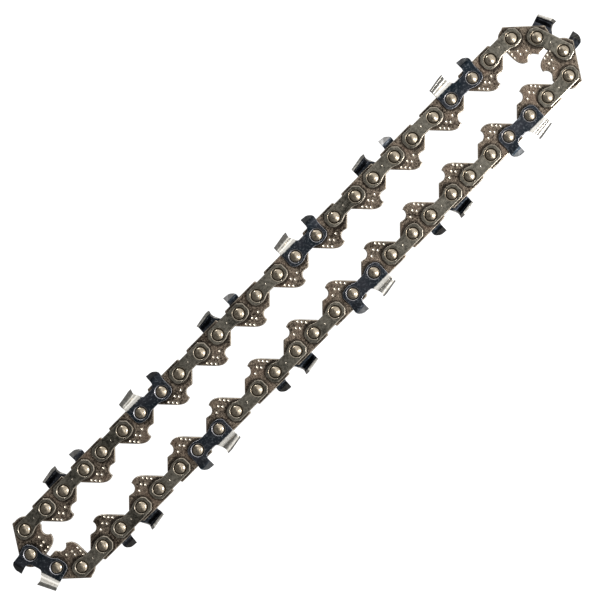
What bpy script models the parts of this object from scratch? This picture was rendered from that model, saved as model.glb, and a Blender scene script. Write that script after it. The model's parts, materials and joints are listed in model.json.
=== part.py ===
# Low-profile saw chain, joined into a loop and lying on its side.
# Every link has its own axes: x along the travel, y away from the guide bar, z to the right-hand side
# of the travel. Its origin is on its rear rivet, half way through its thickness.
# Lengths are in millimetres and angles in degrees; a mesh is turned into metres when it is made.

import math

import bmesh
import bpy
from mathutils import Matrix, Vector

MM = 0.001

# Loop: two straight strands, and four rivets that turn it round at each end.
HALF_LOOP_DRIVE_LINKS = 14
END_TURNS = (43.0, 29.0, 51.0)  # the fourth rivet of an end takes what is left of the half turn
LINKS_PER_CUTTER = 2  # every second outer link is a cutter, on the left and on the right in turn
LOOSE_CUTTER = 4  # the outer link whose cutter is a piece of its own

# Pitch and stack
DRIVE_SPAN = 8.58  # between the two holes of a drive link
OUTER_SPAN = 10.06  # between the two rivets of an outer link
GAUGE = 1.27  # thickness of the drive links, and of the groove they run in
PLATE = 1.2  # thickness of the tie straps and of the cutters' side plates
SIDE_PLAY = 0.1  # between a drive link and the plate beside it

# Rivets
FLANGE_RADIUS = 2.15  # the thick middle that a drive link turns on
RUNNING_GAP = 0.1  # between the flange and the drive link's hole
HUB_RADIUS = 1.5  # the thinner ends that go through the plates
SEAT_GAP = 0.05  # round a hub and under a head where the rivet is a piece of its own
HEAD_RADIUS = 1.95
HEAD_TOP_RADIUS = 1.3
HEAD_HEIGHT = 0.55
HEAD_SIDES = 10
FLANGE_SIDES = 8

# Drive link
DRIVE_TOP = 4.0  # height of its top edge over the rivets
DRIVE_TOP_OVERHANG = 2.95  # how far that edge runs past each rivet
DRIVE_END_RADIUS = 4.5  # of the round ends, about the rivets
HEEL_DEPTH = 5.7
HEEL_OVERHANG = 0.5  # how far the front heel lies past the front rivet
TANG_DEPTH = 8.65  # lowest point of the tang, which runs in the bar's groove
TANG_TO_FRONT = 4.75  # from that point forward to the front rivet
HOOK_TO_FRONT = 3.65  # from the hooked front corner of the tang to the front rivet
HOOK_RISE = 0.3  # of that corner over the lowest point
TANG_BACK = 2.4  # where the tang's bottom starts to rise, ahead of the rear rivet
TANG_BACK_RISE = 0.25
TANG_REAR = 0.9  # where its straight rear edge starts, ahead of the rear rivet
TANG_REAR_RISE = 1.25
OIL_GULLET_RADIUS = 2.05  # of the round notch ahead of the hook
OIL_GULLET_TO_FRONT = 1.25  # from its centre to the front rivet
OIL_GULLET_DEPTH = 7.45  # of its centre under the rivets

# Tie strap, and the lower half of every cutter
STRAP_TOP = 3.2
STRAP_END = 3.4  # how far a strap reaches past its rivets
STRAP_CORNER = 1.75  # of its upper corners, which are cut off at this size
STRAP_END_FLAT = 1.3  # how far the upright end runs below the rivets
FOOT_DEPTH = 2.98  # of the two feet that slide on the bar
FOOT_HALF = 1.0  # half the length of a foot
FOOT_CORNER = 2.4
FOOT_CORNER_RISE = 0.43
WAIST_DEPTH = 2.05  # of the edge between the feet
WAIST_START = 2.9  # from a rivet to where that edge starts

# Depth gauge of a cutter, measured from its front rivet
GAUGE_HEIGHT = 7.5
GAUGE_BACK = 0.2  # its rear corner lies this far behind the rivet
GAUGE_BACK_FOOT = 0.3
GAUGE_BACK_FOOT_HEIGHT = 4.3
GAUGE_CREST = 2.3
GAUGE_CREST_DROP = 0.25
GAUGE_NOSE = 4.1
GAUGE_NOSE_HEIGHT = 5.7
GAUGE_THROAT = 3.4  # the front edge pulls in here, above the round end of the plate
GAUGE_THROAT_HEIGHT = 2.3

# Gullet and tooth of a cutter, measured from its front rivet
GULLET_FLOOR = 3.03
GULLET_FRONT = 1.4
GULLET_BACK = 5.1
TOOTH_FOOT = 5.85  # where the side plate's front edge starts
TOOTH_FOOT_HEIGHT = 3.45
HOOK_HOLLOW = 1.1  # how deep a round file hollows the front edge between foot and top
TOOTH_HEIGHT = 8.15  # of the working corner over the rivets
TOOTH_REACH = 3.2  # of its outer side from the middle of the chain: half the cut's width
LEAN_START = 4.6  # height at which the side plate starts to lean outwards
LEAN_MIDDLE = 5.8
LEAN_END = 6.9
BEND_RADIUS = 0.8  # of the outer corner between side plate and top plate
TOP_PLATE = 0.9
TOP_INNER_EDGE = -0.35  # the top plate reaches just past the middle of the chain
TOP_ANGLE = 30.0  # of the cutting edge across the top plate
EDGE_BEVEL = 0.5  # how far the ground face runs back from the edge
TOP_FALL = 0.9  # how much lower the top plate is at its rear end
SIDE_TAPER = 0.25  # how much less the tooth reaches out there
TOOTH_REAR = 3.2  # past the rear rivet

INNER_FACE = GAUGE / 2 + SIDE_PLAY
OUTER_FACE = INNER_FACE + PLATE
RIVETS = 4 * HALF_LOOP_DRIVE_LINKS


# The loop

def end_turns():
    return (*END_TURNS, 180.0 - sum(END_TURNS))


def turn_at(rivet):
    """How far the loop turns right at a rivet; the links are straight in line wherever it is 0."""
    from_end = (rivet + len(END_TURNS) - 1) % (RIVETS // 2)
    turns = end_turns()
    return turns[from_end] if from_end < len(turns) else 0.0


def is_drive(link):
    return link % 2 == 0


def span_of(link):
    return DRIVE_SPAN if is_drive(link) else OUTER_SPAN


def middle_of_loop():
    """The middle, seen from the front end of link 0, in the axes of link 1."""
    place, heading = Vector((0.0, 0.0)), 0.0
    for link in range(1, 1 + RIVETS // 2):
        along = math.radians(heading)
        place = place + span_of(link) * Vector((math.cos(along), math.sin(along)))
        heading -= turn_at(link + 1)
    return place / 2


# Mesh helpers

def loop(bm, points, z):
    return [bm.verts.new((x, y, z)) for x, y in points]


def ring(bm, x, radius, z, sides):
    steps = [2 * math.pi * (step + 0.5) / sides for step in range(sides)]
    return loop(bm, [(x + radius * math.cos(a), radius * math.sin(a)) for a in steps], z)


def wall(bm, lower, upper, open_edge=None):
    """Faces between two loops that have the same number of points."""
    count = len(lower)
    for start in range(count):
        end = (start + 1) % count
        if start != open_edge:
            bm.faces.new((lower[start], lower[end], upper[end], upper[start]))


def strip(bm, first, second):
    """Faces between two open rows of points."""
    for start in range(len(first) - 1):
        bm.faces.new((first[start], first[start + 1], second[start + 1], second[start]))


def sheet(bm, outline, holes):
    """A flat face with round holes."""
    edges = []
    for verts in (outline, *holes):
        for start, vert in enumerate(verts):
            pair = (vert, verts[(start + 1) % len(verts)])
            edges.append(bm.edges.get(pair) or bm.edges.new(pair))
    bmesh.ops.triangle_fill(bm, edges=edges, use_beauty=True, normal=(0, 0, 1))


def arc(x, y, radius, first, last, points):
    """Points on an arc about (x, y), from one angle to another."""
    steps = [math.radians(first + (last - first) * step / (points - 1)) for step in range(points)]
    return [(x + radius * math.cos(a), y + radius * math.sin(a)) for a in steps]


def finished(name, bm):
    bmesh.ops.recalc_face_normals(bm, faces=bm.faces)
    bmesh.ops.transform(bm, matrix=Matrix.Scale(MM, 4), verts=bm.verts)
    mesh = bpy.data.meshes.new(name)
    bm.to_mesh(mesh)
    bm.free()
    mesh.shade_smooth()
    mesh.set_sharp_from_angle(angle=math.radians(35))
    return mesh


# Outlines, clockwise from the upper rear corner

def drive_outline():
    front = DRIVE_SPAN
    top = [(-DRIVE_TOP_OVERHANG, DRIVE_TOP), (front + DRIVE_TOP_OVERHANG, DRIVE_TOP)]
    nose = arc(front, 0, DRIVE_END_RADIUS, 42, -31, 4)
    heel = [(front + HEEL_OVERHANG, -HEEL_DEPTH)]
    gullet = arc(front - OIL_GULLET_TO_FRONT, -OIL_GULLET_DEPTH, OIL_GULLET_RADIUS, 90, 200, 4)
    tang = [
        (front - HOOK_TO_FRONT, HOOK_RISE - TANG_DEPTH),
        (front - TANG_TO_FRONT, -TANG_DEPTH),
        (TANG_BACK, TANG_BACK_RISE - TANG_DEPTH),
        (TANG_REAR, TANG_REAR_RISE - TANG_DEPTH),
    ]
    tail = arc(0, 0, DRIVE_END_RADIUS, 212, 138, 4)
    return top + nose + heel + gullet + tang + tail


def feet():
    """The lower edge of a strap or a cutter, from the front end to the rear end."""
    end = [
        (STRAP_END, -STRAP_END_FLAT),
        (FOOT_CORNER, FOOT_CORNER_RISE - FOOT_DEPTH),
        (FOOT_HALF, -FOOT_DEPTH),
        (-FOOT_HALF, -FOOT_DEPTH),
        (-WAIST_START, -WAIST_DEPTH),
    ]
    front = [(OUTER_SPAN + x, y) for x, y in end]
    rear = [(-x, y) for x, y in reversed(end)]
    return front + rear


def strap_outline():
    shoulder = STRAP_TOP - STRAP_END + STRAP_CORNER
    rear = [(-STRAP_END, shoulder), (-STRAP_CORNER, STRAP_TOP)]
    front = [(OUTER_SPAN - x, y) for x, y in reversed(rear)]
    return rear + front + feet()


def cutter_outline():
    """The side plate of a cutter up to the foot of its tooth, which stands on the first edge."""
    front = OUTER_SPAN
    return [
        (-TOOTH_REAR, TOOTH_FOOT_HEIGHT),
        (front - TOOTH_FOOT, TOOTH_FOOT_HEIGHT),
        (front - GULLET_BACK, GULLET_FLOOR),
        (front - GULLET_FRONT, GULLET_FLOOR),
        (front - GAUGE_BACK_FOOT, GAUGE_BACK_FOOT_HEIGHT),
        (front - GAUGE_BACK, GAUGE_HEIGHT),
        (front + GAUGE_CREST, GAUGE_HEIGHT - GAUGE_CREST_DROP),
        (front + GAUGE_NOSE, GAUGE_NOSE_HEIGHT),
        (front + GAUGE_THROAT, GAUGE_THROAT_HEIGHT),
    ] + feet()


# The tooth

def tooth_sections():
    """Height and reach of the tooth's outer and inner surface, from its foot to the end of its top plate."""
    middle = (TOOTH_REACH - OUTER_FACE) / 2
    under = TOOTH_HEIGHT - TOP_PLATE
    inner_reach = TOOTH_REACH - PLATE
    side = [
        ((TOOTH_FOOT_HEIGHT, OUTER_FACE), (TOOTH_FOOT_HEIGHT, INNER_FACE)),
        ((LEAN_START, OUTER_FACE), (LEAN_START, INNER_FACE)),
        ((LEAN_MIDDLE, OUTER_FACE + middle), (LEAN_MIDDLE, INNER_FACE + middle)),
        ((LEAN_END, TOOTH_REACH), (under - BEND_RADIUS / 2, inner_reach)),
        ((TOOTH_HEIGHT - BEND_RADIUS / 2, TOOTH_REACH), (under - BEND_RADIUS / 4, inner_reach)),
    ]
    top = [
        ((TOOTH_HEIGHT, TOOTH_REACH - BEND_RADIUS), (under, inner_reach - BEND_RADIUS / 2)),
        ((TOOTH_HEIGHT, TOP_INNER_EDGE), (under, TOP_INNER_EDGE)),
    ]
    return side, top


def hollow_front(height):
    """How far the filed front of the side plate lies behind the front rivet."""
    half = (TOOTH_HEIGHT - TOOTH_FOOT_HEIGHT) / 2
    radius = (half**2 + HOOK_HOLLOW**2) / (2 * HOOK_HOLLOW)
    from_middle = height - (TOOTH_HEIGHT + TOOTH_FOOT_HEIGHT) / 2
    return TOOTH_FOOT - (radius - HOOK_HOLLOW) + math.sqrt(radius**2 - from_middle**2)


def rear_point(height, reach):
    """Where a point of the front section comes out at the rear end, which is lower and narrower."""
    share = (height - TOOTH_FOOT_HEIGHT) / (TOOTH_HEIGHT - TOOTH_FOOT_HEIGHT)
    taper = SIDE_TAPER * share * max(reach, 0) / TOOTH_REACH
    return -TOOTH_REAR, height - TOP_FALL * share, reach - taper


def front_point(height, reach, swept, ground):
    sweep = (TOOTH_REACH - reach) * math.tan(math.radians(TOP_ANGLE)) if swept else 0.0
    return OUTER_SPAN - hollow_front(height) - sweep - ground, height, reach


def add_tooth(bm, side, inner, outer):
    """The tooth, lofted from the first edge of a cutter's side plate up and over to its top plate."""
    side_plate, top_plate = tooth_sections()
    rear_out, front_out, front_in, rear_in = [outer[0]], [outer[1]], [inner[1]], [inner[0]]
    for number, (out, under) in enumerate(side_plate[1:] + top_plate, 1):
        swept = number >= len(side_plate)
        corners = (
            (rear_out, rear_point(*out)),
            (front_out, front_point(*out, swept, 0.0)),
            (front_in, front_point(*under, swept, EDGE_BEVEL)),
            (rear_in, rear_point(*under)),
        )
        for row, (x, y, z) in corners:
            row.append(bm.verts.new((x, y, side * z)))
    rows = (rear_out, front_out, front_in, rear_in)
    for number, row in enumerate(rows):
        strip(bm, row, rows[(number + 1) % len(rows)])
    bm.faces.new([row[-1] for row in rows])


# Pieces of the outer links

def plate_loops(bm, side, toothed):
    """The two faces' edges of a plate on one side of the chain, with its walls and its tooth."""
    outline = cutter_outline() if toothed else strap_outline()
    inner = loop(bm, outline, side * INNER_FACE)
    outer = loop(bm, outline, side * OUTER_FACE)
    wall(bm, inner, outer, open_edge=0 if toothed else None)
    if toothed:
        add_tooth(bm, side, inner, outer)
    return inner, outer


def add_head(bm, x, side, foot, base):
    """A peened head over a ring of points that lies at the height base."""
    top = ring(bm, x, HEAD_TOP_RADIUS, side * (base + HEAD_HEIGHT), HEAD_SIDES)
    wall(bm, foot, top)
    bm.faces.new(top)


def add_stem(bm, x, side, flange):
    """The loose end of a rivet: the rest of its flange, its hub and its head."""
    shoulder, seat = side * (INNER_FACE - SEAT_GAP), side * (OUTER_FACE + SEAT_GAP)
    steps = ((FLANGE_RADIUS, shoulder), (HUB_RADIUS, shoulder), (HUB_RADIUS, seat), (HEAD_RADIUS, seat))
    last = flange
    for radius, z in steps:
        following = ring(bm, x, radius, z, HEAD_SIDES)
        wall(bm, last, following)
        last = following
    add_head(bm, x, side, last, OUTER_FACE + SEAT_GAP)


def add_fixed_plate(bm, side, toothed, flange_sides):
    """A plate with the heads of its two rivets; it gives back the rings where their flanges start."""
    inner, outer = plate_loops(bm, side, toothed)
    flanges = [ring(bm, x, FLANGE_RADIUS, side * INNER_FACE, flange_sides) for x in (0, OUTER_SPAN)]
    heads = [ring(bm, x, HEAD_RADIUS, side * OUTER_FACE, HEAD_SIDES) for x in (0, OUTER_SPAN)]
    sheet(bm, inner, flanges)
    sheet(bm, outer, heads)
    for x, head in zip((0, OUTER_SPAN), heads):
        add_head(bm, x, side, head, OUTER_FACE)
    return flanges


def outer_link_mesh(name, toothed_side):
    """Two plates and the two rivets that hold them, as one riveted unit."""
    bm = bmesh.new()
    right = add_fixed_plate(bm, 1, toothed_side == 1, FLANGE_SIDES)
    left = add_fixed_plate(bm, -1, toothed_side == -1, FLANGE_SIDES)
    for first, second in zip(right, left):
        wall(bm, first, second)
    return finished(name, bm)


def riveted_strap_mesh(name):
    """The left strap of a right-hand cutter with both rivets, which stand through the cutter's holes."""
    bm = bmesh.new()
    for x, flange in zip((0, OUTER_SPAN), add_fixed_plate(bm, -1, False, HEAD_SIDES)):
        add_stem(bm, x, 1, flange)
    return finished(name, bm)


def loose_plate_mesh(name, side, toothed):
    """A plate with open rivet holes."""
    bm = bmesh.new()
    radius = (HUB_RADIUS + SEAT_GAP) / math.cos(math.pi / HEAD_SIDES)
    holes = []
    for verts, face in zip(plate_loops(bm, side, toothed), (INNER_FACE, OUTER_FACE)):
        holes.append([ring(bm, x, radius, side * face, HEAD_SIDES) for x in (0, OUTER_SPAN)])
        sheet(bm, verts, holes[-1])
    for first, second in zip(*holes):
        wall(bm, first, second)
    return finished(name, bm)


def rivet_mesh(name):
    bm = bmesh.new()
    middle = ring(bm, 0, FLANGE_RADIUS, 0, HEAD_SIDES)
    add_stem(bm, 0, 1, middle)
    add_stem(bm, 0, -1, middle)
    return finished(name, bm)


def drive_link_mesh(name):
    bm = bmesh.new()
    radius = (FLANGE_RADIUS + RUNNING_GAP) / math.cos(math.pi / FLANGE_SIDES)
    faces, holes = [], []
    for z in (-GAUGE / 2, GAUGE / 2):
        faces.append(loop(bm, drive_outline(), z))
        holes.append([ring(bm, x, radius, z, FLANGE_SIDES) for x in (0, DRIVE_SPAN)])
        sheet(bm, faces[-1], holes[-1])
    wall(bm, *faces)
    for first, second in zip(*holes):
        wall(bm, first, second)
    return finished(name, bm)


# Materials

def metal(name, colour, roughness):
    material = bpy.data.materials.new(name)
    material.use_nodes = True
    shader = material.node_tree.nodes["Principled BSDF"]
    shader.inputs["Base Color"].default_value = (*colour, 1.0)
    shader.inputs["Metallic"].default_value = 1.0
    shader.inputs["Roughness"].default_value = roughness
    return material


# The chain

def pivot_empty(name, parent, place, turn):
    """An empty on a joint's axis, which carries one link and all links beyond it."""
    empty = bpy.data.objects.new(name, None)
    empty.empty_display_size = HEAD_RADIUS * MM
    empty.parent = parent
    empty.location = [length * MM for length in place]
    empty.rotation_euler = (0.0, 0.0, math.radians(turn))
    bpy.context.collection.objects.link(empty)
    return empty


def add_piece(name, mesh, material, pivot, x=0.0):
    piece = bpy.data.objects.new(name, mesh)
    piece.parent = pivot
    piece.location = (x * MM, 0.0, 0.0)
    bpy.context.collection.objects.link(piece)
    piece.material_slots[0].link = "OBJECT"
    piece.material_slots[0].material = material


def add_link(link, pivot, x, meshes, metals):
    """The pieces of one link; x is its rear rivet, seen from its pivot."""
    number = link // 2 + 1 if is_drive(link) else (link + 1) // 2
    if is_drive(link):
        add_piece(f"drive_link_{number:02d}", meshes["drive"], metals["drive"], pivot, x)
    elif link == 1:
        add_piece("joining_strap_right", meshes["strap_right"], metals["strap"], pivot, x)
        add_piece("joining_strap_left", meshes["strap_left"], metals["strap"], pivot, x)
        add_piece("joining_rivet_rear", meshes["rivet"], metals["rivet"], pivot, x)
        add_piece("joining_rivet_front", meshes["rivet"], metals["rivet"], pivot, x + OUTER_SPAN)
    elif number == LOOSE_CUTTER:
        add_piece(f"right_cutter_{number:02d}", meshes["cutter"], metals["cutter"], pivot, x)
        add_piece(f"riveted_strap_{number:02d}", meshes["riveted"], metals["strap"], pivot, x)
    elif number % LINKS_PER_CUTTER:
        add_piece(f"strap_link_{number:02d}", meshes["strap_link"], metals["strap"], pivot, x)
    elif number // LINKS_PER_CUTTER % 2:
        add_piece(f"left_cutter_link_{number:02d}", meshes["left"], metals["cutter"], pivot, x)
    else:
        add_piece(f"right_cutter_link_{number:02d}", meshes["right"], metals["cutter"], pivot, x)


def chain_meshes():
    meshes = {
        "drive": drive_link_mesh("drive_link"),
        "strap_link": outer_link_mesh("strap_link", 0),
        "right": outer_link_mesh("right_cutter_link", 1),
        "left": outer_link_mesh("left_cutter_link", -1),
        "strap_right": loose_plate_mesh("strap_right", 1, False),
        "strap_left": loose_plate_mesh("strap_left", -1, False),
        "cutter": loose_plate_mesh("right_cutter", 1, True),
        "riveted": riveted_strap_mesh("riveted_strap"),
        "rivet": rivet_mesh("rivet"),
    }
    for mesh in meshes.values():
        mesh.materials.append(None)
    return meshes


def build_chain():
    """Links 2 to half way round turn on their rear rivets, and links 0 and backwards on their front ones."""
    metals = {
        "drive": metal("drive_link_steel", (0.16, 0.14, 0.12), 0.45),
        "strap": metal("strap_steel", (0.20, 0.185, 0.17), 0.4),
        "cutter": metal("cutter_steel", (0.10, 0.11, 0.15), 0.3),
        "rivet": metal("rivet_steel", (0.62, 0.53, 0.38), 0.3),
    }
    meshes = chain_meshes()
    middle = middle_of_loop()
    root = pivot_empty("chain", None, (-middle.x, -middle.y, TOOTH_REACH), 0.0)
    add_link(1, root, 0.0, meshes, metals)
    pivot, x = root, OUTER_SPAN
    for link in range(2, 2 + RIVETS // 2):
        pivot = pivot_empty(f"pivot_{link:02d}", pivot, (x, 0.0, 0.0), -turn_at(link))
        add_link(link, pivot, 0.0, meshes, metals)
        x = span_of(link)
    pivot, x = root, 0.0
    for step in range(RIVETS // 2 - 1):
        link = -step % RIVETS
        rivet = (link + 1) % RIVETS
        pivot = pivot_empty(f"pivot_{rivet:02d}", pivot, (x, 0.0, 0.0), turn_at(rivet))
        x = -span_of(link)
        add_link(link, pivot, x, meshes, metals)


def clear_scene():
    for item in list(bpy.data.objects):
        bpy.data.objects.remove(item, do_unlink=True)


clear_scene()
build_chain()
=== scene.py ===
import json
import math

import bmesh
import bpy
from mathutils import Matrix, Vector

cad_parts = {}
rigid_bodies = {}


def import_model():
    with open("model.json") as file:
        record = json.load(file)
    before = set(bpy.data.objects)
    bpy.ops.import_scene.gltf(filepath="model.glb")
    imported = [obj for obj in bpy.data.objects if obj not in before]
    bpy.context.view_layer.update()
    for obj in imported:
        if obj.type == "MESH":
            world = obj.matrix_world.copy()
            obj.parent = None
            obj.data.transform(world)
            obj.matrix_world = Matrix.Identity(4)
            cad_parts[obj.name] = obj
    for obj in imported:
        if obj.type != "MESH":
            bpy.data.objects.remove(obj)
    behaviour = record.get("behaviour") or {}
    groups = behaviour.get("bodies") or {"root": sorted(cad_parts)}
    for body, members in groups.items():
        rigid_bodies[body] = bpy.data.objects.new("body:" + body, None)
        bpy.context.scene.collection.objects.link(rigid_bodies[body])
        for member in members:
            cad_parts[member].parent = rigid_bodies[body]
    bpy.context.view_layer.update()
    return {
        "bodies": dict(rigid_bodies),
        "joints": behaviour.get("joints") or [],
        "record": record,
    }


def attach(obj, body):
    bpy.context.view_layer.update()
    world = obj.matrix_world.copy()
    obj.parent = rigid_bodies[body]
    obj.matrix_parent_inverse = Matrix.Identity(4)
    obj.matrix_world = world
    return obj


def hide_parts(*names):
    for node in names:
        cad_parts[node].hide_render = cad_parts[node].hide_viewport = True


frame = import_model()
mm = 0.001


# where the links lie, read from the frame's pivots

loopInfo = {"rivets": 56, "openRivet": 30, "joiningLink": 1}


def readRivets():
    places = {int(j["name"].split("_")[1]): Vector(j["pos_m"]) for j in frame["joints"]}
    half = loopInfo["rivets"] // 2
    opposite = places[(loopInfo["openRivet"] + half) % loopInfo["rivets"]]
    # the loop looks the same after half a turn, which gives the one rivet that no joint stands on
    places[loopInfo["openRivet"]] = Vector((-opposite.x, -opposite.y, opposite.z))
    return places


rivetPlaces = readRivets()


def linkMatrix(link):
    rear, front = rivetPlaces[link], rivetPlaces[(link + 1) % loopInfo["rivets"]]
    heading = math.atan2(front.y - rear.y, front.x - rear.x)
    return Matrix.Translation(rear) @ Matrix.Rotation(heading, 4, "Z") @ Matrix.Scale(mm, 4)


def bodyOf(link):
    number = link // 2 + 1 if link % 2 == 0 else (link + 1) // 2
    if link % 2 == 0:
        return f"drive_link_{number:02d}"
    if link == loopInfo["joiningLink"]:
        return "joining_strap_link"
    return next(b for b in frame["bodies"] if b.endswith(f"link_{number:02d}") and "drive" not in b)


# mesh helpers; every link is modelled in mm on its own axes:
# x along the travel, y off the bar, z to the right

meshWork = {
    "cornerSegments": 5, "weld": 1e-4, "same": 1e-6, "near": 0.01,
    "flatNormal": 0.9999,  # a face that points up or down by this much is flat
    # degrees from which an edge is sharp, beside a flat face and elsewhere
    "flatFold": 8.0, "sharpAngle": 28.0,
    "chamferNormal": (0.25, 0.985),  # a face that points up or down by this much is a chamfer, which the materials paint paler: wear, and a painted highlight along the edge
}


def arcPoints(x, y, radius, first, last, count):
    angles = [math.radians(first + (last - first) * n / (count - 1)) for n in range(count)]
    return [(x + radius * math.cos(a), y + radius * math.sin(a)) for a in angles]


def outlineFace(bm, points, z, rounding):
    # points are (x, y) or (x, y, radius); rounding is what the plain ones get
    verts = [bm.verts.new((p[0], p[1], z)) for p in points]
    face = bm.faces.new(verts)
    radii = [p[2] if len(p) > 2 else rounding for p in points]
    for radius in sorted(set(radii) - {0}):
        corners = [v for v, r in zip(verts, radii) if r == radius]
        bmesh.ops.bevel(bm, geom=corners, offset=radius, affect="VERTICES", profile=0.5,
                        segments=meshWork["cornerSegments"], material=-1, clamp_overlap=True)
    return face


def extrudedPlate(points, bottom, top, rounding, bevel):
    bm = bmesh.new()
    outlineFace(bm, points, bottom, rounding)
    made = bmesh.ops.extrude_face_region(bm, geom=bm.faces[:])
    raised = [g for g in made["geom"] if isinstance(g, bmesh.types.BMVert)]
    bmesh.ops.translate(bm, verts=raised, vec=(0, 0, top - bottom))
    bmesh.ops.recalc_face_normals(bm, faces=bm.faces)
    rims = [e for e in bm.edges if abs(e.verts[0].co.z - e.verts[1].co.z) < meshWork["same"]]
    bmesh.ops.bevel(bm, geom=rims, offset=bevel, affect="EDGES", segments=3, profile=0.5, material=-1,
                    clamp_overlap=True)
    return bm


def addCylinder(bm, x, y, radius, low, high, sides=40, topRadius=None):
    turned = Matrix.Translation((x, y, (low + high) / 2))
    bmesh.ops.create_cone(bm, cap_ends=True, segments=sides, radius1=radius, radius2=topRadius or radius,
                          depth=high - low, matrix=turned)


def asObject(bm, name):
    mesh = bpy.data.meshes.new(name)
    bm.to_mesh(mesh)
    bm.free()
    obj = bpy.data.objects.new(name, mesh)
    bpy.context.scene.collection.objects.link(obj)
    return obj


def cutWith(obj, cutters):
    for tool in cutters:
        cut = obj.modifiers.new("cut", "BOOLEAN")
        cut.operation = "DIFFERENCE"
        cut.object = tool
        cut.solver = "EXACT"
        cut.use_self = True


def finishedMesh(obj, cutters=(), sharpAngle=meshWork["sharpAngle"]):
    # the mesh with its cuts made, flat faces kept flat, and each point's place on the link stored
    cutWith(obj, cutters)
    bpy.context.view_layer.update()
    mesh = bpy.data.meshes.new_from_object(obj.evaluated_get(bpy.context.evaluated_depsgraph_get()))
    for used in (obj, *cutters):
        bpy.data.objects.remove(used)
    bm = bmesh.new()
    bm.from_mesh(mesh)
    bmesh.ops.remove_doubles(bm, verts=bm.verts, dist=meshWork["weld"])
    bmesh.ops.dissolve_degenerate(bm, edges=bm.edges, dist=meshWork["weld"])
    bmesh.ops.triangulate(bm, faces=[f for f in bm.faces if len(f.verts) > 4])
    bmesh.ops.recalc_face_normals(bm, faces=bm.faces)
    bm.normal_update()
    for face in bm.faces:
        face.smooth = True
    for edge in bm.edges:
        flats = {abs(face.normal.z) > meshWork["flatNormal"] for face in edge.link_faces}
        limit = sharpAngle if len(flats) == 1 else meshWork["flatFold"]
        edge.smooth = edge.calc_face_angle(0.0) < math.radians(limit)
    bm.to_mesh(mesh)
    bm.free()
    place = mesh.attributes.new("linkPlace", "FLOAT_VECTOR", "POINT")
    for vert in mesh.vertices:
        place.data[vert.index].vector = vert.co
    # faces on a chamfer, marked for the materials' paler edge: wear and a painted highlight
    chamfer = mesh.attributes.new("chamfer", "FLOAT", "FACE")
    low, high = meshWork["chamferNormal"]
    for face in mesh.polygons:
        chamfer.data[face.index].value = 1.0 if low < abs(face.normal.z) < high else 0.0
    return mesh


# drive link

driveLink = {
    "span": 8.58, "gauge": 1.27, "top": 4.0, "topOverhang": 2.95, "topRounding": 0.35, "endRadius": 4.5,
    # corners, from the front rivet: along, up, rounding
    "heel": (0.5, -5.7, 0.3), "hook": (-3.65, -8.35, 0.15), "tangPoint": (-4.75, -8.65, 0.5),
    # corners, from the rear rivet
    "tangBack": (2.4, -8.4, 0.7), "tangRear": (0.9, -7.4, 0.8),
    "gulletRadius": 2.05, "gulletCentre": (-1.25, -7.45),
    # degrees that the round parts of the outline run through, and the points on each
    "frontArc": (44, -31), "gulletArc": (90, 200), "rearArc": (212, 136), "arcSteps": 14,
    "holeRadius": 2.25, "rounding": 0.2, "bevel": 0.26,
    "dimpleRadius": 0.8, "dimpleDepth": 0.14, "dimpleRow": (-0.72, -4.3), "dimpleStep": 2.9,
    "dimpleSkew": (0.93, -1.12), "dimpleRows": ((0, 1, 2, 5), (0, 1, 5), (0,)),
    "dimplePaintedHighlight": 2.0,  # the dimples' walls get this much of an edge's pale tint, as a painted highlight
}


def driveOutline():
    d = driveLink
    front = d["span"]

    def arc(x, y, radius, ends):
        return [(*point, 0) for point in arcPoints(x, y, radius, *ends, d["arcSteps"])]

    def frontCorner(name):
        x, y, rounding = d[name]
        return front + x, y, rounding

    points = [(-d["topOverhang"], d["top"], d["topRounding"]),
              (front + d["topOverhang"], d["top"], d["topRounding"])]
    points += arc(front, 0, d["endRadius"], d["frontArc"])
    points.append(frontCorner("heel"))
    points += arc(front + d["gulletCentre"][0], d["gulletCentre"][1], d["gulletRadius"], d["gulletArc"])
    points += [frontCorner("hook"), frontCorner("tangPoint"), d["tangBack"], d["tangRear"]]
    return points + arc(0, 0, d["endRadius"], d["rearArc"])


def driveMesh():
    d = driveLink
    half = d["gauge"] / 2
    obj = asObject(extrudedPlate(driveOutline(), -half, half, d["rounding"], d["bevel"]), "driveBlank")
    holes = bmesh.new()
    for x in (0, d["span"]):
        addCylinder(holes, x, 0, d["holeRadius"], -1, 1)
    pits = bmesh.new()
    pitPlaces = []
    for row, columns in enumerate(d["dimpleRows"]):
        for column in columns:
            x = d["dimpleRow"][0] + column * d["dimpleStep"] + row * d["dimpleSkew"][0]
            y = d["dimpleRow"][1] + row * d["dimpleSkew"][1]
            pitPlaces.append(Vector((x, y)))
            for side in (-1, 1):
                z = side * (half - d["dimpleDepth"] + d["dimpleRadius"])
                bmesh.ops.create_uvsphere(pits, u_segments=14, v_segments=20, radius=d["dimpleRadius"],
                                          matrix=Matrix.Translation((x, y, z)))
    mesh = finishedMesh(obj, [asObject(holes, "driveHoles"), asObject(pits, "drivePits")])
    chamfer = mesh.attributes["chamfer"]
    # the dimples' walls are marked like a chamfer, for a painted highlight
    for face in mesh.polygons:
        fromPit = min((face.center.xy - place).length for place in pitPlaces)
        if abs(face.normal.z) < meshWork["flatNormal"] and fromPit < d["dimpleRadius"]:
            chamfer.data[face.index].value = d["dimplePaintedHighlight"]
    return mesh


# tie strap, on the right-hand side; the left one is its mirror image

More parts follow.
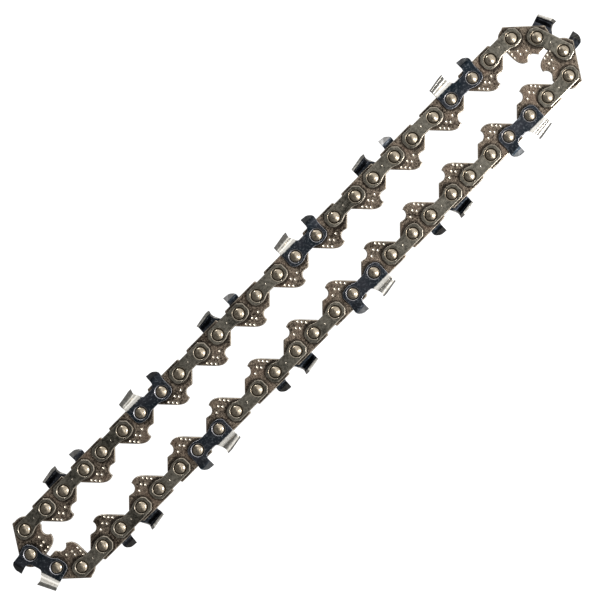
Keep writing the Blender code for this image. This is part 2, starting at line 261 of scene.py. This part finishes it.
strap = {
    "span": 10.06, "innerFace": 0.735, "outerFace": 1.935,
    "top": 3.2, "end": 3.4, "corner": 1.75, "cornerRounding": 0.25, "endFlat": 1.3, "endRounding": 0.35,
    "footDepth": 2.98, "footHalf": 0.9, "footRounding": 0.4, "footCorner": (2.45, -2.5),
    "waist": 2.05, "waistStart": 3.2, "waistRounding": 0.8, "rounding": 0.2, "bevel": 0.3,
    # each rivet's hole, and the cone-shaped seat of its head
    "hubHole": 1.55, "seatFloor": 2.08, "seatRim": 2.4, "seatDepth": 0.24,
    "punchPlace": (5.1, 0.55), "punchRadius": 0.8, "punchDepth": 0.1,
}


def feetPoints():
    s = strap
    end = [(s["end"], -s["endFlat"], s["endRounding"]), (*s["footCorner"], s["endRounding"]),
           (s["footHalf"], -s["footDepth"], s["footRounding"]),
           (-s["footHalf"], -s["footDepth"], s["footRounding"]),
           (-s["waistStart"], -s["waist"], s["waistRounding"])]
    return [(s["span"] + x, y, r) for x, y, r in end] + [(-x, y, r) for x, y, r in reversed(end)]


def seatCutters(name):
    s = strap
    low, high = s["outerFace"] - s["seatDepth"], s["outerFace"] + s["seatDepth"]
    holes = bmesh.new()
    seats = bmesh.new()
    for x in (0, s["span"]):
        addCylinder(holes, x, 0, s["hubHole"], s["innerFace"] - 0.5, s["outerFace"] + 0.5)
        # the cone runs on above the plate, so that no two faces lie in one plane
        addCylinder(seats, x, 0, s["seatFloor"], low, high, topRadius=2 * s["seatRim"] - s["seatFloor"])
    return [asObject(holes, name + "Holes"), asObject(seats, name + "Seats")]


def strapMesh():
    s = strap
    shoulder = s["top"] - s["end"] + s["corner"]
    rear = [(-s["end"], shoulder, s["cornerRounding"]), (-s["corner"], s["top"], s["cornerRounding"])]
    points = rear + [(s["span"] - x, y, r) for x, y, r in reversed(rear)] + feetPoints()
    plate = extrudedPlate(points, s["innerFace"], s["outerFace"], s["rounding"], s["bevel"])
    obj = asObject(plate, "strapBlank")
    punch = bmesh.new()
    place = Matrix.Translation((*s["punchPlace"], s["outerFace"] + s["punchRadius"] - s["punchDepth"]))
    bmesh.ops.create_uvsphere(punch, u_segments=16, v_segments=10, radius=s["punchRadius"], matrix=place)
    return finishedMesh(obj, [*seatCutters("strap"), asObject(punch, "strapPunch")])


# cutter, on the right-hand side: a stamped plate with its tooth folded over the chain

cutter = {
    "footHeight": 3.45, "toothRear": -3.2,
    # the filed front edge: its height, and how far it lies behind the front rivet there
    "front": ((3.45, 5.85), (4.3, 6.15), (5.1, 6.6), (5.9, 6.93),
              (6.6, 7.02), (7.3, 6.8), (7.8, 6.42), (8.15, 6.05)),
    "height": 8.15, "reach": 3.2, "innerEdge": -0.35, "topAngle": 30.0, "topFall": 0.9, "sideTaper": 0.25,
    "leanStart": 4.7, "leanEnd": 6.4, "bendRadius": 1.45,
    "leanSteps": 10, "bendPoints": 9, "topSteps": 4, "alongSteps": 10,
    # the plate's thickness changes from the side plate's to the top's over this much height
    "topThickness": 1.15, "blendBelow": 0.6, "blendHeight": 1.4,
    # the bend is tighter at the rear, so the plate is thinner there
    "rearThinning": 0.27, "thinningSpeed": 1.6,
    "grind": 0.55, "grindStart": 0.5, "bevel": 0.2,
    "gulletFloor": 3.03, "gulletBack": 5.1, "gulletFront": 1.4, "gulletRounding": (0.3, 0.6),
    # the depth gauge's corners, from the front rivet: along, up, rounding
    "gauge": ((-0.3, 4.3, 0.6), (-0.2, 7.5, 0.12), (2.3, 7.25, 0.7), (4.1, 5.7, 0.9), (3.4, 2.3, 0.6)),
    # it is bent in over the chain, in small folds that add up: height, degrees
    "gaugeFolds": ((4.6, 14.0), (5.25, 12.0), (5.95, 12.0)), "foldedFrom": -1.5, "foldedTo": 1.0,
}


def toothSection():
    # (height, reach) of the outer surface: up the side plate, round the bend and along the top plate
    c, s = cutter, strap
    reachIn = c["reach"] - s["outerFace"]
    rise = c["leanEnd"] - c["leanStart"]
    side = []
    for step in range(1, c["leanSteps"] + 1):
        t = step / c["leanSteps"]
        side.append((c["leanStart"] + rise * t, s["outerFace"] + reachIn * (3 * t * t - 2 * t * t * t)))
    bendReach, bendHeight = c["reach"] - c["bendRadius"], c["height"] - c["bendRadius"]
    bend = [(h, r) for r, h in arcPoints(bendReach, bendHeight, c["bendRadius"], 0, 90, c["bendPoints"])]
    across = bendReach - c["innerEdge"]
    top = [(c["height"], bendReach - across * step / c["topSteps"]) for step in range(1, c["topSteps"] + 1)]
    return [(c["leanStart"], s["outerFace"])] + side + bend + top


def toothFrontX(height, reach):
    # the filed front edge, swept back over the top plate
    c, s = cutter, strap
    back = c["front"][-1][1]
    for (low, first), (high, last) in zip(c["front"], c["front"][1:]):
        if low <= height <= high:
            back = first + (last - first) * (height - low) / (high - low)
    swept = max(0.0, height - c["leanEnd"]) / (c["height"] - c["leanEnd"])
    sweep = swept * (c["reach"] - reach) * math.tan(math.radians(c["topAngle"]))
    return s["span"] - back - sweep


def toothPoint(height, reach, share):
    # share runs from 0 at the rear end, which is lower and narrower, to 1 at the cutting edge
    c = cutter
    up = (height - c["footHeight"]) / (c["height"] - c["footHeight"])
    x = c["toothRear"] + (toothFrontX(height, reach) - c["toothRear"]) * share
    fall = (1 - share) * c["topFall"] * up
    taper = (1 - share) * c["sideTaper"] * up * max(reach, 0) / c["reach"]
    return x, height - fall, reach - taper


def cutterMesh():
    c, s = cutter, strap
    front = s["span"]
    bm = bmesh.new()
    steps = c["alongSteps"]
    footEnd = front - c["front"][0][1]
    footLength = footEnd - c["toothRear"]
    foot = [(c["toothRear"] + footLength * n / steps, c["footHeight"], 0) for n in range(steps + 1)]
    backRounding, frontRounding = c["gulletRounding"]
    gullet = [(front - c["gulletBack"], c["gulletFloor"], backRounding),
              (front - c["gulletFront"], c["gulletFloor"], frontRounding)]
    gauge = [(front + x, y, r) for x, y, r in c["gauge"]]
    outlineFace(bm, foot + gullet + gauge + feetPoints(), s["outerFace"], s["rounding"])
    for layer in ("innerSkin", "sectionHeight", "alongTooth"):
        bm.verts.layers.float.new(layer)
    heightLayer, alongLayer = (bm.verts.layers.float[n] for n in ("sectionHeight", "alongTooth"))
    same = meshWork["same"]
    row = [e for e in bm.edges if all(abs(v.co.y - c["footHeight"]) < same and v.co.x < footEnd + same
                                      for v in e.verts)]
    for height, reach in toothSection():
        made = bmesh.ops.extrude_edge_only(bm, edges=row)["geom"]
        row = [g for g in made if isinstance(g, bmesh.types.BMEdge)]
        raised = sorted((g for g in made if isinstance(g, bmesh.types.BMVert)), key=lambda v: v.co.x)
        for n, vert in enumerate(raised):
            vert.co = toothPoint(height, reach, n / steps)
            vert[heightLayer], vert[alongLayer] = height, n / steps
    for height, lean in c["gaugeFolds"]:
        cut = [g for g in bm.verts[:] + bm.edges[:] + bm.faces[:] if isOnGauge(g)]
        bmesh.ops.bisect_plane(bm, geom=cut, plane_co=(0, height, 0), plane_no=(0, 1, 0))
        for vert in bm.verts:
            if vert.co.x > front + c["foldedFrom"] and vert.co.y > height:
                vert.co.z -= (vert.co.y - height) * math.tan(math.radians(lean))
    bmesh.ops.recalc_face_normals(bm, faces=bm.faces)
    if max(bm.faces, key=lambda f: f.calc_area()).normal.z < 0:
        bmesh.ops.reverse_faces(bm, faces=bm.faces)
    return shellOf(bm)


def isOnGauge(item):
    verts = [item] if isinstance(item, bmesh.types.BMVert) else item.verts
    return max(v.co.x for v in verts) > strap["span"] + cutter["foldedTo"]


def shellOf(bm):
    # a second skin a plate's thickness inside the first, joined to it all round
    c, s = cutter, strap
    bm.normal_update()
    rims = [e for e in bm.edges if e.is_boundary]
    inward = {v: v.normal.copy() for v in bm.verts}
    copied = bmesh.ops.duplicate(bm, geom=bm.verts[:] + bm.edges[:] + bm.faces[:])
    partner = copied["vert_map"]
    plate = s["outerFace"] - s["innerFace"]
    skin, heights, along = (bm.verts.layers.float[n] for n in ("innerSkin", "sectionHeight", "alongTooth"))
    for outer, direction in inward.items():
        inner = partner[outer]
        inner[skin] = 1.0
        if 0 < outer[heights] < c["leanEnd"] + meshWork["near"]:
            direction = Vector((0, 0, 1))  # straight through the leaning wall, so its inside can't fold over
        onTop = min(1.0, max(0.0, (outer[heights] - c["leanEnd"] + c["blendBelow"]) / c["blendHeight"]))
        thinned = 1 - c["rearThinning"] * (1 - outer[along]) * min(1.0, onTop * c["thinningSpeed"])
        inner.co = outer.co - direction * ((plate + (c["topThickness"] - plate) * onTop) * thinned)
        inner.co.x -= c["grind"] * max(0.0, outer[along] - c["grindStart"]) / (1 - c["grindStart"])
    innerFaces = [g for g in copied["geom"] if isinstance(g, bmesh.types.BMFace)]
    bmesh.ops.reverse_faces(bm, faces=innerFaces)
    walls = []
    for edge in rims:
        a, b = edge.verts
        walls.append(bm.faces.new((a, b, partner[b], partner[a])))
    bmesh.ops.recalc_face_normals(bm, faces=bm.faces)
    edges = {e for f in walls for e in f.edges if len(set(e.link_faces) & set(walls)) == 1}
    # the cutting edge stays sharp
    blunt = [e for e in edges if not any(v[along] > 1 - meshWork["near"] for v in e.verts)]
    bmesh.ops.bevel(bm, geom=blunt, offset=c["bevel"], affect="EDGES", segments=3, profile=0.5, material=-1,
                    clamp_overlap=True)
    return finishedMesh(asObject(bm, "cutterBlank"), seatCutters("cutter"))


def mirroredMesh(mesh, name):
    bm = bmesh.new()
    bm.from_mesh(mesh)
    bmesh.ops.scale(bm, vec=(1, 1, -1), verts=bm.verts)
    bmesh.ops.reverse_faces(bm, faces=bm.faces)
    flipped = mesh.copy()
    flipped.name = name
    bm.to_mesh(flipped)
    bm.free()
    return flipped


# rivet

rivet = {
    "flange": 2.15, "hub": 1.5, "head": 1.88, "headRise": 0.53, "capShare": 0.4, "shoulder": 0.7, "sides": 40,
    "headSink": 0.03, "domeSteps": 18, "sharpAngle": 40.0,
    "ringRadius": 0.85, "ringWidth": 0.17, "ringDepth": 0.06,  # the ring that the peening leaves
}


def rivetMesh():
    # a flange in the drive link, a hub in the plates and a domed head in each seat
    r, s = rivet, strap
    base = s["outerFace"] - s["seatDepth"] - r["headSink"]
    top = s["outerFace"] + r["headRise"]
    ball = (r["head"] ** 2 + (top - base) ** 2) / (2 * (top - base))
    half = [(r["flange"], 0), (r["flange"], r["shoulder"]), (r["hub"], r["shoulder"]), (r["hub"], base),
            (r["head"], base)]
    for step in range(1, r["domeSteps"] + 1):
        angle = math.pi / 2 * step / r["domeSteps"]
        x = r["head"] * math.cos(angle)
        dome = base + (top - base) * math.sin(angle)
        cap = top - ball + math.sqrt(ball * ball - x * x)
        ring = r["ringDepth"] * math.exp(-((x - r["ringRadius"]) / r["ringWidth"]) ** 2)
        half.append((x, cap * r["capShare"] + dome * (1 - r["capShare"]) - ring))
    profile = [(x, -z) for x, z in reversed(half[1:])] + half
    bm = bmesh.new()
    verts = [bm.verts.new((x, 0, z)) for x, z in profile]
    edges = [bm.edges.new(pair) for pair in zip(verts, verts[1:])]
    bmesh.ops.spin(bm, geom=verts + edges, cent=(0, 0, 0), axis=(0, 0, 1), angle=2 * math.pi,
                   steps=r["sides"], use_merge=True)
    bmesh.ops.remove_doubles(bm, verts=bm.verts, dist=meshWork["weld"])
    bmesh.ops.recalc_face_normals(bm, faces=bm.faces)
    return finishedMesh(asObject(bm, "rivetBlank"), sharpAngle=r["sharpAngle"])


# shader helper: a socket that can be used in sums

class Value:
    def __init__(self, tree, socket):
        self.tree, self.socket = tree, socket

    def maths(self, operation, *others):
        node = self.tree.nodes.new("ShaderNodeMath")
        node.operation = operation
        for slot, item in zip(node.inputs, (self, *others)):
            connect(self.tree, slot, item)
        return Value(self.tree, node.outputs[0])

    def __add__(self, other):
        return self.maths("ADD", other)

    def __sub__(self, other):
        return self.maths("SUBTRACT", other)

    def __mul__(self, other):
        return self.maths("MULTIPLY", other)

    def __truediv__(self, other):
        return self.maths("DIVIDE", other)

    def __rsub__(self, other):
        return (self * -1) + other

    __radd__ = __add__
    __rmul__ = __mul__

    def clamped(self):
        node = self.tree.nodes.new("ShaderNodeClamp")
        connect(self.tree, node.inputs[0], self)
        return Value(self.tree, node.outputs[0])

    def rises(self, low, high):
        return ((self - low) / (high - low)).clamped()


def connect(tree, slot, item):
    if isinstance(item, Value):
        tree.links.new(item.socket, slot)
    elif item is not None:
        slot.default_value = item


class Painter:
    # the tree of a material or of the world, with one method that adds any node
    def __init__(self, owner):
        owner.use_nodes = True
        self.owner, self.tree = owner, owner.node_tree

    def node(self, kind, output=0, settings=None, **values):
        made = self.tree.nodes.new("ShaderNode" + kind)
        for key, value in (settings or {}).items():
            setattr(made, key, value)
        for key, value in values.items():
            # a socket goes by its name, or by i and its number
            numbered = key[0] == "i" and key[1:].isdigit()
            connect(self.tree, made.inputs[int(key[1:]) if numbered else key.replace("_", " ")], value)
        return Value(self.tree, made.outputs[output])

    def mix(self, share, first, second):
        made = self.tree.nodes.new("ShaderNodeMix")
        made.data_type = "RGBA"
        for slot, item in zip((made.inputs[0], made.inputs[6], made.inputs[7]), (share, first, second)):
            connect(self.tree, slot, (*item, 1) if isinstance(item, tuple) and len(item) == 3 else item)
        return Value(self.tree, made.outputs[2])

    def noise(self, where, scale, detail=3.0, roughness=0.55):
        return self.node("TexNoise", Vector=where, Scale=scale, Detail=detail, Roughness=roughness)

    def objectPlace(self, stretch=(1, 1, 1)):
        made = self.node("TexCoord", output=3)
        return self.node("Mapping", Vector=made, Scale=stretch)

    def linkPlace(self):
        return self.node("Attribute", output=1, settings={"attribute_name": "linkPlace"})

    def stored(self, name):
        return self.node("Attribute", output=2, settings={"attribute_name": name})

    def fromRivets(self, *alongs):
        # how far a point is from the nearest of the rivets' axes
        x, y, _ = self.split(self.linkPlace())
        radii = [((x - along) * (x - along) + y * y).maths("SQRT") for along in alongs]
        return radii[0].maths("MINIMUM", radii[-1])

    def split(self, vector):
        made = self.tree.nodes.new("ShaderNodeSeparateXYZ")
        connect(self.tree, made.inputs[0], vector)
        return [Value(self.tree, out) for out in made.outputs]

    def bump(self, height, strength, distance):
        return self.node("Bump", Strength=strength, Distance=distance, Height=height)

    def finish(self, shader="Principled BSDF", **values):
        for key, value in values.items():
            slot = self.tree.nodes[shader].inputs[key.replace("_", " ")]
            connect(self.tree, slot, (*value, 1) if isinstance(value, tuple) and len(value) == 3 else value)
        return self.owner


# materials; noise scales are per metre, and places on a link are in mm

driveLook = {
    "mottleScale": 1500, "patchScale": 160, "scratchScale": 2600, "scratchStretch": (1, 1, 6),
    "dark": (0.035, 0.024, 0.016), "light": (0.52, 0.42, 0.32), "mottled": (0.41, 0.65),
    "brown": (0.16, 0.09, 0.06), "brownShare": 0.5,
    # grease and painted shade lie where the side plates end: darker near the rivets
    "greaseAndShade": (0.012, 0.01, 0.008), "greaseAndShadeShare": 0.75, "greaseAndShadeEdge": (3.75, 4.25),
    "wornSheen": (0.85, 0.76, 0.62), "wornSheenShare": 0.48, "wornSheenUnderShade": 0.6,
    "metal": 0.85, "roughness": 0.16, "roughnessRange": 0.2, "bump": 1.0, "bumpHeight": 0.00012,
}


def oiledSteel():
    # drive links: dark rolled steel, mottled tan and brown
    look = driveLook
    p = Painter(bpy.data.materials.new("oiled drive steel"))
    place = p.objectPlace()
    mottle = p.noise(place, look["mottleScale"], 4, 0.7)
    broad = p.noise(place, look["patchScale"], 2)
    scratch = p.noise(p.objectPlace(look["scratchStretch"]), look["scratchScale"], 2)
    tint = p.mix((mottle * 0.7 + broad * 0.3).rises(*look["mottled"]), look["dark"], look["light"])
    tint = p.mix(broad.rises(0.5, 0.7) * look["brownShare"], tint, look["brown"])
    # painted shade and grease, darker towards the rivets where the side plates cover the link
    greaseAndShade = 1 - p.fromRivets(0.0, driveLink["span"]).rises(*look["greaseAndShadeEdge"])
    tint = p.mix(greaseAndShade * look["greaseAndShadeShare"], tint, look["greaseAndShade"])
    # chamfers and dimple walls paler: wear, and a painted highlight
    wornSheen = p.stored("chamfer")
    tint = p.mix(wornSheen * look["wornSheenShare"] * (1 - greaseAndShade * look["wornSheenUnderShade"]), tint, look["wornSheen"])
    grain = (mottle * 0.6 + scratch * 0.4) * (1 - wornSheen.clamped() * 0.8)
    return p.finish(Base_Color=tint, Metallic=look["metal"],
                    Roughness=look["roughness"] + scratch * look["roughnessRange"],
                    Normal=p.bump(grain, look["bump"], look["bumpHeight"]))


strapLook = {
    "mottleScale": 1100, "patchScale": 120, "dark": (0.05, 0.047, 0.037), "light": (0.32, 0.295, 0.24),
    "mottled": (0.35, 0.65), "wornSheen": (0.75, 0.66, 0.54), "wornSheenShare": 0.4,
    "oilAndShade": (0.015, 0.013, 0.01), "oilAndShadeEdge": (2.1, 2.26),  # painted shade and oil in each rivet's seat, round the head
    "metal": 0.95, "roughness": 0.2, "roughnessRange": 0.15, "bump": 0.3, "bumpHeight": 0.00005,
}


def strapSteel():
    look = strapLook
    p = Painter(bpy.data.materials.new("gunmetal strap steel"))
    place = p.objectPlace()
    mottle = p.noise(place, look["mottleScale"], 4, 0.65)
    broad = p.noise(place, look["patchScale"], 2)
    tint = p.mix((mottle * 0.6 + broad * 0.4).rises(*look["mottled"]), look["dark"], look["light"])
    # chamfers and seat walls paler: wear, and a painted highlight
    tint = p.mix(p.stored("chamfer") * look["wornSheenShare"], tint, look["wornSheen"])
    # painted shade and oil, dark in the seat round each rivet head
    oiledAndShaded = 1 - p.fromRivets(0.0, strap["span"]).rises(*look["oilAndShadeEdge"])
    tint = p.mix(oiledAndShaded, tint, look["oilAndShade"])
    return p.finish(Base_Color=tint, Metallic=look["metal"],
                    Roughness=look["roughness"] + mottle * look["roughnessRange"],
                    Normal=p.bump(mottle, look["bump"], look["bumpHeight"]))


cutterLook = {
    "mottleScale": 1200, "patchScale": 140,
    "blueDark": (0.015, 0.023, 0.031), "blueLight": (0.047, 0.05, 0.06), "patches": (0.35, 0.65),
    "speckle": (0.22, 0.24, 0.26), "speckleShare": 0.5, "speckled": (0.52, 0.72),
    "wornSheen": (0.68, 0.68, 0.72), "wornSheenShare": 0.6, "wornSheenBelow": (4.3, 4.5),
    "oilAndShade": (0.012, 0.012, 0.012), "oilAndShadeEdge": (2.1, 2.26),  # painted shade and oil in each rivet's seat, round the head
    # a painted highlight on the depth gauge above its folds, stronger on its inner skin
    "gaugeTipHighlight": (0.15, 0.148, 0.145), "gaugeTipAbove": (5.6, 5.75), "gaugeTipAhead": (8.6, 9.0),
    "chromeDark": (0.48, 0.46, 0.41), "chromeLight": (0.8, 0.77, 0.71), "chromed": (0.3, 0.7),
    "chromeAbove": (3.75, 4.1), "chromeBehind": (5.2, 5.6),
    # the lower part of the tooth's side is satin and paler
    "satin": (0.97, 0.94, 0.87), "satinShare": 0.8, "satinBelow": (5.0, 5.5), "satinLoss": 0.5,
    "roughness": 0.3, "roughnessRange": 0.2, "chromePolish": 0.17, "bump": 0.3, "bumpHeight": 0.00004,
}


def cutterSteel():
    # blued plate below, ground and chromed tooth above
    look = cutterLook
    p = Painter(bpy.data.materials.new("blued and chromed cutter steel"))
    place = p.objectPlace()
    x, y, _ = p.split(p.linkPlace())
    mottle = p.noise(place, look["mottleScale"], 3, 0.6)
    broad = p.noise(place, look["patchScale"], 2)
    blued = p.mix(broad.rises(*look["patches"]), look["blueDark"], look["blueLight"])
    blued = p.mix(mottle.rises(*look["speckled"]) * look["speckleShare"], blued, look["speckle"])
    # chamfers below the tooth paler: wear, and a painted highlight
    wornSheen = p.stored("chamfer") * (1 - y.rises(*look["wornSheenBelow"]))
    blued = p.mix(wornSheen * look["wornSheenShare"], blued, look["wornSheen"])
    # painted shade and oil, dark in the seat round each rivet head
    oiledAndShaded = 1 - p.fromRivets(0.0, strap["span"]).rises(*look["oilAndShadeEdge"])
    blued = p.mix(oiledAndShaded, blued, look["oilAndShade"])
    outside = 1 - p.stored("innerSkin").rises(0.85, 0.98)
    # painted highlight on the gauge's tip, stronger on the inner skin
    onTipHighlight = y.rises(*look["gaugeTipAbove"]) * x.rises(*look["gaugeTipAhead"]) * (1 - outside * 0.5)
    blued = p.mix(onTipHighlight, blued, look["gaugeTipHighlight"])
    onTooth = (y + mottle * 0.5).rises(*look["chromeAbove"]) * (1 - x.rises(*look["chromeBehind"])) * outside
    satin = onTooth * (1 - y.rises(*look["satinBelow"]))
    chrome = p.mix(mottle.rises(*look["chromed"]), look["chromeDark"], look["chromeLight"])
    chrome = p.mix(satin * look["satinShare"], chrome, look["satin"])
    rough = look["roughness"] + mottle * look["roughnessRange"] - onTooth * look["chromePolish"]
    return p.finish(Base_Color=p.mix(onTooth, blued, chrome), Metallic=1 - satin * look["satinLoss"],
                    Roughness=rough,
                    Normal=p.bump(mottle * (1 - onTooth * 0.7), look["bump"], look["bumpHeight"]))


rivetLook = {
    "mottleScale": 1300, "dark": (0.33, 0.275, 0.2), "light": (0.58, 0.5, 0.39), "mottled": (0.35, 0.65),
    # painted shade, dark at the rim of each head
    "rimShade": (0.03, 0.024, 0.018), "rimShadeEdge": (1.76, 1.88),
    "roughness": 0.22, "roughnessRange": 0.16, "bump": 0.22, "bumpHeight": 0.00006,
}


def rivetSteel():
    look = rivetLook
    p = Painter(bpy.data.materials.new("golden rivet steel"))
    mottle = p.noise(p.objectPlace(), look["mottleScale"], 3, 0.6)
    tint = p.mix(mottle.rises(*look["mottled"]), look["dark"], look["light"])
    # painted shade round the head's rim
    tint = p.mix(p.fromRivets(0.0).rises(*look["rimShadeEdge"]), tint, look["rimShade"])
    return p.finish(Base_Color=tint, Metallic=1.0,
                    Roughness=look["roughness"] + mottle * look["roughnessRange"],
                    Normal=p.bump(mottle, look["bump"], look["bumpHeight"]))


# the pieces

def placePiece(name, mesh, link, material, replaced, along=0.0):
    made = mesh.copy()
    made.transform(linkMatrix(link) @ Matrix.Translation((along, 0, 0)))
    made.name = name
    made.materials.clear()
    made.materials.append(material)
    piece = bpy.data.objects.new(name, made)
    bpy.context.scene.collection.objects.link(piece)
    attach(piece, bodyOf(link))
    if replaced:
        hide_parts(replaced)
    return piece


def addOuterLink(link, meshes, metals):
    number = (link + 1) // 2
    body = bodyOf(link)
    nodes = frame["record"]["behaviour"]["bodies"][body]
    split = len(nodes) > 1
    hand = "strap" if "cutter" not in body else ("left" if "left" in body else "right")
    whole = None if split else nodes[0]
    rightIsCutter, leftIsCutter = hand == "right", hand == "left"

    def nodeFor(word):
        return next((n for n in nodes if word in n), None) if split else whole

    if rightIsCutter:
        placePiece(f"right_cutter_plate_{number:02d}", meshes["right"], link, metals["cutter"],
                   nodeFor("right_cutter"))
    else:
        placePiece(f"right_strap_{number:02d}", meshes["strapRight"], link, metals["strap"],
                   nodeFor("strap_right"))
    if leftIsCutter:
        placePiece(f"left_cutter_plate_{number:02d}", meshes["left"], link, metals["cutter"],
                   nodeFor("left_cutter"))
    else:
        placePiece(f"left_strap_{number:02d}", meshes["strapLeft"], link, metals["strap"],
                   nodeFor("strap_left") or nodeFor("riveted"))
    for end, along in (("rear", 0.0), ("front", strap["span"])):
        placePiece(f"rivet_{number:02d}_{end}", meshes["rivet"], link, metals["rivet"],
                   nodeFor(f"rivet_{end}") or nodeFor("riveted"), along)


def buildChain():
    meshes = {"drive": driveMesh(), "strapRight": strapMesh(), "right": cutterMesh(), "rivet": rivetMesh()}
    meshes["strapLeft"] = mirroredMesh(meshes["strapRight"], "strapLeft")
    meshes["left"] = mirroredMesh(meshes["right"], "cutterLeft")
    print("link meshes made:", {name: len(mesh.polygons) for name, mesh in meshes.items()})
    metals = {"drive": oiledSteel(), "strap": strapSteel(), "cutter": cutterSteel(), "rivet": rivetSteel()}
    for link in range(loopInfo["rivets"]):
        if link % 2:
            addOuterLink(link, meshes, metals)
        else:
            node = bodyOf(link)
            placePiece(node.replace("drive_link", "drive_plate"), meshes["drive"], link, metals["drive"], node)
    print("links placed")


# floor, light and camera

studio = {
    "floorHalf": 4.0, "floorColour": (0.9, 0.9, 0.9, 1),
    # how much of the floor's shade the camera sees, its glow in reflections, and its glow to the camera
    "floorShade": 0.2, "floorSeen": 0.2, "floorGlow": 1.4,
    # light from all round, in parts that add up: towards, from and to where it rises, strength
    "sky": (((0, 0, 1), -1.0, -0.9, 0.16), ((0.87, 0.5, 0), -0.11, 0.21, 1.25),
            ((0.87, 0.5, 0), 0.2, 0.45, -0.5), ((0, 0, 1), 0.6, 1.0, 0.03)),
    "lampDistance": 0.4,
    # towards, size, power
    "lamps": {
        "rightLamp": ((0.85, -0.1, 0.85), 0.12, 1.15),
        "upperLeftLamp": ((-0.5, 0.85, 0.28), 0.07, 0.3),
    },
    "cameraTarget": (0.0018, -0.00011, 0.0032), "cameraDistance": 1.015, "cameraAzimuth": 355.0,
    "cameraTilt": 2.0, "cameraRoll": 44.72, "lens": 180.0, "sensor": 36.0, "clipStart": 0.01,
}


def addFloor():
    bm = bmesh.new()
    bmesh.ops.create_grid(bm, x_segments=1, y_segments=1, size=studio["floorHalf"])
    floor = asObject(bm, "floor")
    p = Painter(bpy.data.materials.new("white floor"))
    p.tree.nodes.remove(p.tree.nodes["Principled BSDF"])
    plain = p.node("BsdfDiffuse", Color=studio["floorColour"])
    seen, reflected = p.node("LightPath", output=0), p.node("LightPath", output=3)
    glow = p.node("Emission", Strength=seen * studio["floorGlow"] + reflected * studio["floorSeen"])
    share = seen * (1 - studio["floorShade"]) + reflected
    p.finish("Material Output", Surface=p.node("MixShader", i0=share, i1=plain, i2=glow))
    floor.data.materials.append(p.owner)


def addLamp(name, direction, distance, size, power):
    lamp = bpy.data.lights.new(name, "AREA")
    lamp.shape, lamp.size, lamp.energy = "DISK", size, power
    obj = bpy.data.objects.new(name, lamp)
    towards = Vector(direction).normalized()
    obj.location = towards * distance
    obj.rotation_euler = towards.to_track_quat("Z", "Y").to_euler()
    bpy.context.scene.collection.objects.link(obj)


def imageDirection(right, up, out):
    # a direction given as seen in the picture: to its right, to its top and out of it
    turn = math.radians(studio["cameraRoll"])
    rightAxis = Vector((math.sin(turn), -math.cos(turn), 0))
    upAxis = Vector((math.cos(turn), math.sin(turn), 0))
    return rightAxis * right + upAxis * up + Vector((0, 0, out))


def addLight():
    world = bpy.data.worlds.new("studio")
    bpy.context.scene.world = world
    p = Painter(world)
    direction = p.objectPlace()
    glow = 0.0
    for towards, low, high, strength in studio["sky"]:
        along = p.node("VectorMath", output=1, settings={"operation": "DOT_PRODUCT"}, i0=direction,
                       i1=imageDirection(*towards).normalized())
        share = along.rises(low, high)
        glow = share * share * strength + glow
    seen = p.node("LightPath", output=0)
    p.finish("Background", Color=(1, 1, 1), Strength=glow * (1 - seen) + seen)
    for name, (direction, size, power) in studio["lamps"].items():
        addLamp(name, imageDirection(*direction), studio["lampDistance"], size, power)


def addCamera():
    s = studio
    tilt, azimuth, roll = (math.radians(s[k]) for k in ("cameraTilt", "cameraAzimuth", "cameraRoll"))
    back = Vector((math.sin(tilt) * math.cos(azimuth), math.sin(tilt) * math.sin(azimuth), math.cos(tilt)))
    rightAxis = Vector((math.cos(roll), math.sin(roll), 0)).cross(back).normalized()
    upAxis = back.cross(rightAxis)
    camera = bpy.data.objects.new("camera", bpy.data.cameras.new("camera"))
    camera.data.lens, camera.data.sensor_width = s["lens"], s["sensor"]
    camera.data.clip_start = s["clipStart"]
    camera.matrix_world = Matrix.Translation(Vector(s["cameraTarget"]) + back * s["cameraDistance"]) @ Matrix(
        (rightAxis, upAxis, back)).transposed().to_4x4()
    bpy.context.scene.collection.objects.link(camera)
    bpy.context.scene.camera = camera


addCamera()
buildChain()
addFloor()
addLight()
bpy.context.scene.view_settings.view_transform = "Standard"
print("stage set")
